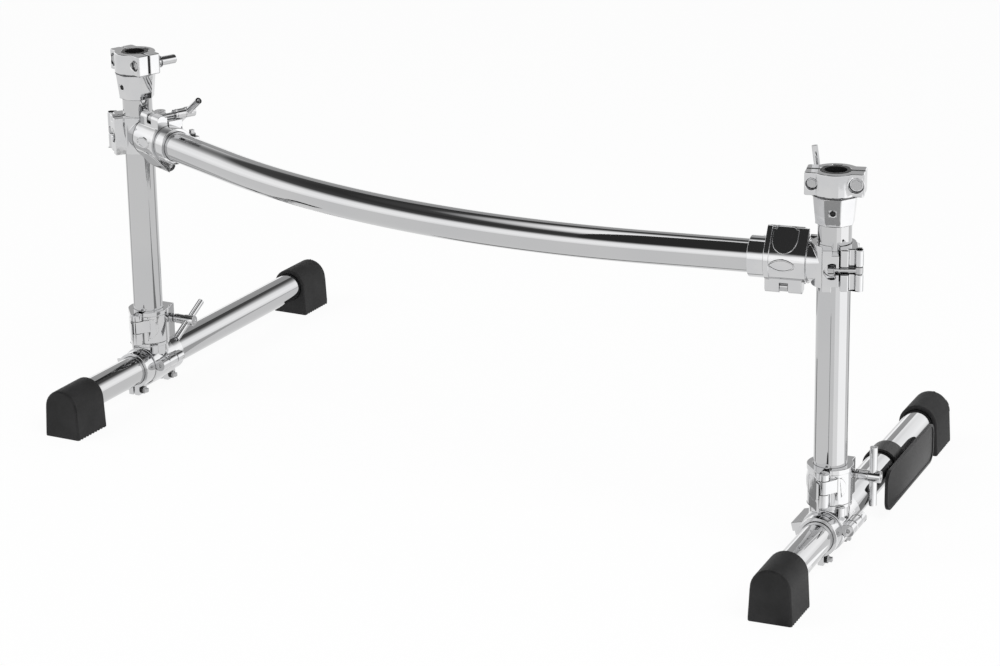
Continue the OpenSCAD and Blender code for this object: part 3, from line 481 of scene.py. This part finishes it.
def ring(bm, radius, wall, segments, matrix):
    """A flat ring of quads round the matrix's X axis."""
    turn = matrix @ Matrix.Rotation(math.pi / 2, 4, "Y")
    outer = bmesh.ops.create_circle(bm, cap_ends=False, radius=radius, segments=segments, matrix=turn)
    inner = bmesh.ops.create_circle(bm, cap_ends=False, radius=radius - wall, segments=segments, matrix=turn)
    edges = {e for v in outer["verts"] + inner["verts"] for e in v.link_edges}
    return bmesh.ops.bridge_loops(bm, edges=list(edges))["faces"]


def push(bm, faces, vector):
    """Extrude the faces and move what is new."""
    moved = bmesh.ops.extrude_face_region(bm, geom=faces)["geom"]
    bmesh.ops.translate(bm, verts=[v for v in moved if isinstance(v, bmesh.types.BMVert)], vec=vector)
    return [f for f in moved if isinstance(f, bmesh.types.BMFace)]


def local_frame(origin, x, y, z):
    """The matrix of a clamp's own frame."""
    made = Matrix((x, y, z)).transposed().to_4x4()
    made.translation = origin
    return made


cos, sin = math.cos, math.sin
UPPER_LEFT = local_frame((LEFT_X, SIDE_Y, BAR_Z), (cos(BAR_YAW), -sin(BAR_YAW), 0),
                         (sin(BAR_YAW), cos(BAR_YAW), 0), (0, 0, 1))
UPPER_RIGHT = local_frame((RIGHT_X, SIDE_Y, BAR_Z), (-cos(BAR_YAW), -sin(BAR_YAW), 0),
                          (-sin(BAR_YAW), cos(BAR_YAW), 0), (0, 0, -1))
bow_r = ((RIGHT_X - LEFT_X) / 2 - STRAIGHT * cos(BAR_YAW)) / sin(BAR_YAW)
bow_centre = Vector(((LEFT_X + RIGHT_X) / 2, SIDE_Y + bow_r * cos(BAR_YAW) - STRAIGHT * sin(BAR_YAW), BAR_Z))
bm = bmesh.new()
faces = ring(bm, TUBE_R, TUBE_WALL, TUBE_SIDES, UPPER_LEFT @ Matrix.Translation((TUBE_START, 0, 0)))
faces = push(bm, faces, UPPER_LEFT.to_3x3() @ Vector((STRAIGHT - TUBE_START, 0, 0)))
turned = bmesh.ops.spin(bm, geom=faces, cent=bow_centre, axis=(0, 0, 1), dvec=(0, 0, 0), angle=2 * BAR_YAW,
                        steps=BEND_STEPS, use_merge=False, use_duplicate=False)["geom_last"]
faces = [f for f in turned if isinstance(f, bmesh.types.BMFace)]
push(bm, faces, UPPER_RIGHT.to_3x3() @ Vector((TUBE_START - STRAIGHT, 0, 0)))
bmesh.ops.remove_doubles(bm, verts=bm.verts, dist=SMALLEST_EDGE)
bmesh.ops.recalc_face_normals(bm, faces=bm.faces)
bar = as_piece(bm, "crossbar_tube", tube_chrome, body_of_node("crossbar"), ["crossbar"])
print(bar.name, len(bar.data.polygons), "faces, bow radius", round(bow_r, 4))

# %% [markdown]
# ## Straight tubes
# The uprights and foot tubes are plain lengths of the same tube. A ring pushed once makes
# each, and its cut ends are broken with a small bevel.

# %% Push the straight tubes
FOOT_Z, UPRIGHT_LOW, UPRIGHT_TOP = 39 * MM, 62 * MM, 425 * MM
FOOT_FRONT, FOOT_LEN = 203 * MM, 610 * MM
LEFT_TOE, RIGHT_TOE = math.radians(8), math.radians(12)


def lower_frame(x, toe):
    return local_frame((x, SIDE_Y, FOOT_Z), (0, 0, 1), (cos(toe), sin(toe), 0), (-sin(toe), cos(toe), 0))


LOWER_LEFT, LOWER_RIGHT = lower_frame(LEFT_X, LEFT_TOE), lower_frame(RIGHT_X, RIGHT_TOE)
ALONG_Z = Matrix.Rotation(-math.pi / 2, 4, "Y")


def straight_tube(node, start, length):
    """A tube along the start matrix's Z axis."""
    bm = bmesh.new()
    faces = ring(bm, TUBE_R, TUBE_WALL, TUBE_SIDES, start @ ALONG_Z)
    push(bm, faces, start.to_3x3() @ Vector((0, 0, length)))
    bmesh.ops.recalc_face_normals(bm, faces=bm.faces)
    bm = soften(bm, BROKEN_EDGE, from_angle=60)
    as_piece(bm, node + "_tube", tube_chrome, body_of_node(node), [node])


for node, x in (("left_upright", LEFT_X), ("right_upright", RIGHT_X)):
    straight_tube(node, Matrix.Translation((x, SIDE_Y, UPRIGHT_LOW)), UPRIGHT_TOP - UPRIGHT_LOW)
for node, base in (("left_foot_tube", LOWER_LEFT), ("right_foot_tube", LOWER_RIGHT)):
    straight_tube(node, base @ Matrix.Translation((0, 0, -FOOT_FRONT)), FOOT_LEN)
print("four straight tubes")

# %% [markdown]
# ## Rubber feet, liners and badge
# The feet are moulded: every edge is round and the tread is a row of shallow scallops. The
# liner and the badge are thinner mouldings, so their edges are rounded less.

# %% Round the mouldings
RIM_FROM, END_ZONE = -32.5 * MM, 3.0 * MM


def soften_closed_end(bm, node, width):
    """Round the closed end of a foot more than its open end, where the rubber is thin."""
    base = LOWER_LEFT if node.startswith("left") else LOWER_RIGHT
    inward = base.inverted()
    rim = [e for e in bm.edges if len(e.link_faces) == 2 and e.calc_face_angle(0) > math.radians(20)
           and min((inward @ v.co).x for v in e.verts) > RIM_FROM
           and not END_ZONE - FOOT_FRONT < (inward @ ((e.verts[0].co + e.verts[1].co) / 2)).z
           < FOOT_LEN - FOOT_FRONT - END_ZONE]
    bmesh.ops.bevel(bm, geom=rim, offset=width, offset_type="OFFSET", segments=4, profile=0.5, affect="EDGES",
                    clamp_overlap=True, material=-1)
    print(node, len(rim), "rim edges")


MOULDED = {"_foot": (1.0, foot_rubber, "rubber"), "holder_liner": (0.35, liner_moulding, "moulding"),
           "badge_plate": (0.4, badge_black, "moulding"), "badge_clip": (0.6, liner_moulding, "moulding")}
for node in sorted(nodes):
    for ending, (width, finish, slot) in MOULDED.items():
        if node.endswith(ending):
            bm = merged_copy(node)
            if ending == "_foot":
                soften_closed_end(bm, node, END_ZONE)
            bm = soften(bm, width * MM, segments=3)
            piece = as_piece(bm, node + "_moulded", finish, body_of_node(node), [node])
            print(piece.name, len(piece.data.polygons), "faces")

# %% [markdown]
# ## Cup washers on the memory locks
# Each memory lock is drawn together by a bolt with a square key head that stands in a dark
# cup washer. The solid has the washer as a plain step, so a turned cup is put over it: a
# disc is pushed up, its face is drawn in and let down, and its edges are rounded.

# %% Set the cup washers
def turn_about(z=0, x=0):
    return Matrix.Rotation(math.radians(z), 4, "Z") @ Matrix.Rotation(math.radians(x), 4, "X")


def along(x=0, y=0, z=0):
    return Matrix.Translation((x * MM, y * MM, z * MM))


CUP_R, CUP_HEIGHT, CUP_RIM, CUP_DEPTH = 4.8 * MM, 2.9 * MM, 1.1 * MM, 1.0 * MM
# Where a cup sits on its lock, and below that where each lock sits on its tube, in millimetres
CUP_SPOT = (-28, 7.9, 9.5)
LOCKS = {"bar_lock_bolts": [UPPER_LEFT @ along(94.4) @ turn_about(-90, 90),
                            UPPER_RIGHT @ along(75.4) @ turn_about(-90, -90)],
         "left_lock_bolts": [LOWER_LEFT @ along(z=24.4), LOWER_LEFT @ along(z=-43.4)],
         "right_lock_bolts": [LOWER_RIGHT @ along(z=24.4), LOWER_RIGHT @ along(z=-43.4)]}
for node, places in LOCKS.items():
    bm = bmesh.new()
    for place in places:
        cup = place @ along(*CUP_SPOT) @ turn_about(0, -90)
        outward = cup.to_3x3() @ Vector((0, 0, 1))
        disc = bmesh.ops.create_circle(bm, cap_ends=True, radius=CUP_R, segments=40, matrix=cup)["verts"]
        faces = push(bm, list({f for v in disc for f in v.link_faces}), outward * CUP_HEIGHT)
        bmesh.ops.inset_region(bm, faces=faces, thickness=CUP_RIM)
        bmesh.ops.translate(bm, verts=list({v for f in faces for v in f.verts}), vec=outward * -CUP_DEPTH)
    bmesh.ops.recalc_face_normals(bm, faces=bm.faces)
    bm = soften(bm, BROKEN_EDGE)
    cups = as_piece(bm, node.replace("lock_bolts", "cup_washers"), black_steel, body_of_node(node))
    print(cups.name, len(cups.data.polygons), "faces")

# %% [markdown]
# ## Set screws in the holders' necks
# A small black set screw holds each holder on its upright. The neck is plated and the screw
# isn't, so it shows as one dark dot. A short plug with its face drawn in and let down gives
# it a round socket, which is enough at this size.

# %% Turn the set screws
SET_SCREW_Z, SET_SCREW_R, SCREW_FROM, SCREW_TO = 413 * MM, 2.75 * MM, 20.0 * MM, 22.6 * MM
SCREW_RIM, SCREW_DEPTH = 1.1 * MM, 1.2 * MM
for side, (x, y, turn) in UPRIGHT_AT.items():
    front = Matrix.Translation((x, y, SET_SCREW_Z)) @ turn_about(math.degrees(turn), 90)
    bm = bmesh.new()
    disc = bmesh.ops.create_circle(bm, cap_ends=True, radius=SET_SCREW_R, segments=36,
                                   matrix=front @ Matrix.Translation((0, 0, SCREW_FROM)))["verts"]
    outward = front.to_3x3() @ Vector((0, 0, 1))
    faces = push(bm, list({f for v in disc for f in v.link_faces}), outward * (SCREW_TO - SCREW_FROM))
    bmesh.ops.inset_region(bm, faces=faces, thickness=SCREW_RIM)
    bmesh.ops.translate(bm, verts=list({v for f in faces for v in f.verts}), vec=outward * -SCREW_DEPTH)
    bmesh.ops.recalc_face_normals(bm, faces=bm.faces)
    screw = as_piece(bm, side + "_set_screw", black_steel, side + "_holder")
    print(screw.name, len(screw.data.polygons), "faces")
